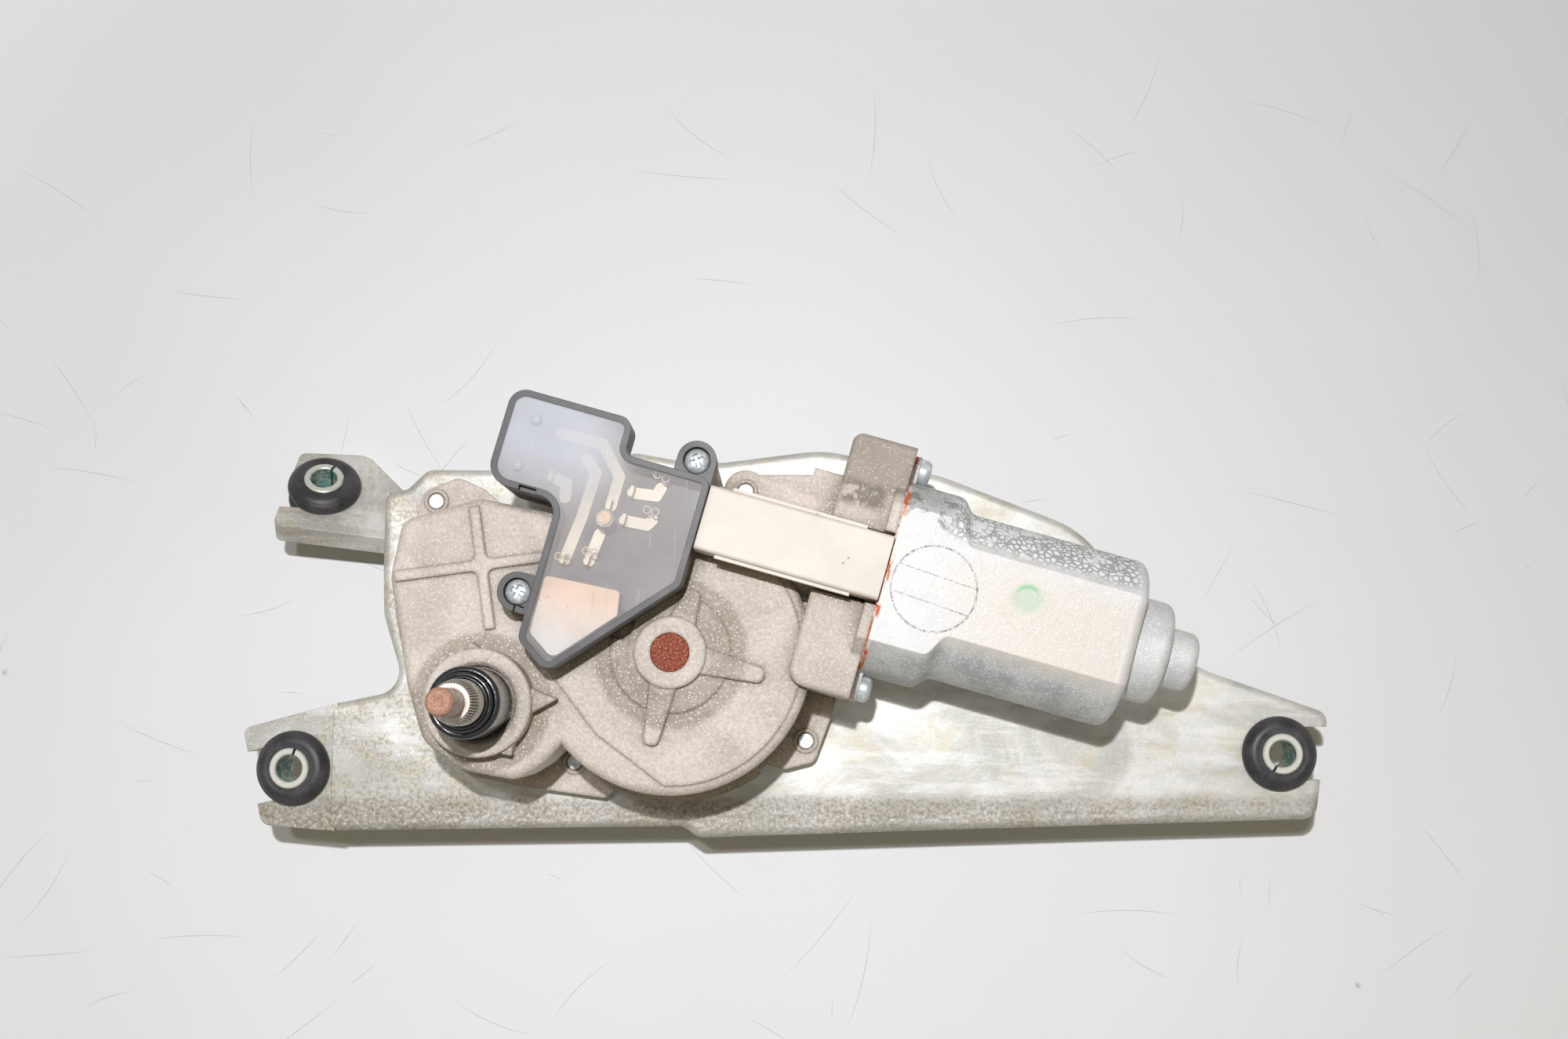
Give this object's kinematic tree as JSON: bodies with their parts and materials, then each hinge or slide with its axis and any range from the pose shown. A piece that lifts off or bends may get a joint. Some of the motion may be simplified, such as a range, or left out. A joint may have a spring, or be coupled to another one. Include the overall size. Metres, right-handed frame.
{
  "type": "rear wiper motor",
  "caption": "Geared wiper motor on a stamped bracket with rubber mounts; a worm wheel and sector linkage swing the wiper spindle, with a clear-covered park switch.",
  "frame": {"origin": "on the wiper spindle's axis, at the foot of its thread", "axes": "+Z along the spindle toward its threaded end; +X along the bracket's length, toward its single mount"},
  "size_m": [0.2674, 0.1026, 0.1055],
  "materials": {
    "zinc_plate": "zinc plate, dulled and spotted",
    "die_cast": "as-cast, fine grain",
    "yoke_steel": "zinc plate with white corrosion",
    "screw_steel": "zinc plate",
    "sleeve_steel": "zinc plate",
    "spindle_steel": "rust on the thread",
    "rusty_steel": "rust",
    "ground_steel": "ground",
    "core_steel": "laminated",
    "bronze": "sintered",
    "brass": "bright",
    "copper_wire": "enamelled",
    "ferrite": "dark, dull",
    "black_plastic": "fine grain",
    "ivory_plastic": "smooth",
    "cream_plastic": "smooth",
    "gear_plastic": "greased",
    "gasket_paper": "rust-stained paper",
    "black_rubber": "satin",
    "clear_plastic": "clear, lightly scratched"
  },
  "bodies": {
    "housing": {"mounting_bracket": "zinc_plate", "gear_housing": "die_cast", "housing_cover": "zinc_plate", "cover_screws": "screw_steel", "spindle_bush": "bronze", "nose_seal": "black_rubber", "wheel_pin": "rusty_steel", "wheel_washer": "screw_steel", "worm_end_bush": "bronze", "shaft_bearing": "bronze", "yoke": "yoke_steel", "yoke_gasket": "gasket_paper", "yoke_screws": "screw_steel", "magnets": "ferrite", "brush_holder": "ivory_plastic", "brushes": "ferrite", "brush_springs": "screw_steel", "end_bearing": "bronze", "thrust_piece": "ivory_plastic", "switch_case": "black_plastic", "switch_cover": "clear_plastic", "switch_screws": "screw_steel", "terminal_bridge": "ivory_plastic", "busbars": "brass", "contact_carrier": "cream_plastic", "connector_pins": "brass", "contact_fingers": "brass", "cover_post": "cream_plastic", "grommet_upper_left": "black_rubber", "grommet_lower_left": "black_rubber", "grommet_right": "black_rubber", "sleeve_upper_left": "sleeve_steel", "sleeve_lower_left": "sleeve_steel", "sleeve_right": "sleeve_steel"},
    "armature": {"armature_shaft": "ground_steel", "armature_core": "core_steel", "windings": "copper_wire", "commutator": "copper_wire"},
    "wheel": {"worm_wheel": "gear_plastic", "contact_disc": "brass"},
    "spindle": {"spindle": "spindle_steel", "pinion": "ground_steel", "spindle_clip": "ground_steel"},
    "guide": {"guide_link": "ground_steel", "link_pin": "ground_steel"},
    "link": {"sector_link": "ground_steel", "crank_pin": "ground_steel"}
  },
  "joints": [
    {"name": "armature_spin", "type": "hinge", "parent": "housing", "child": "armature", "pos_m": [0.09168, 0.02945, -0.0444], "axis": [0.9622, -0.2723, 0], "continuous": true},
    {"name": "wheel_spin", "type": "hinge", "parent": "housing", "child": "wheel", "pos_m": [0.04303, 0.01141, -0.0444], "axis": [0, 0, 1], "continuous": true},
    {"name": "spindle_swing", "type": "hinge", "parent": "housing", "child": "spindle", "pos_m": [0, 0, 0], "axis": [0, 0, 1], "range_deg": [-108.15, 0]},
    {"name": "guide_swing", "type": "hinge", "parent": "housing", "child": "guide", "pos_m": [0, 0, -0.0658], "axis": [0, 0, 1], "range_deg": [-33.97, 0]},
    {"name": "link_swing", "type": "hinge", "parent": "guide", "child": "link", "pos_m": [0.00198, 0.02241, -0.0608], "axis": [0, 0, 1], "range_deg": [0, 37.1]}
  ],
  "couplings": [
    {"joint": "wheel_spin", "follows": "armature_spin", "ratio": 0.02381},
    {"joint": "guide_swing", "follows": "spindle_swing", "ratio": 0.31405},
    {"joint": "link_swing", "follows": "spindle_swing", "ratio": -0.34298}
  ]
}
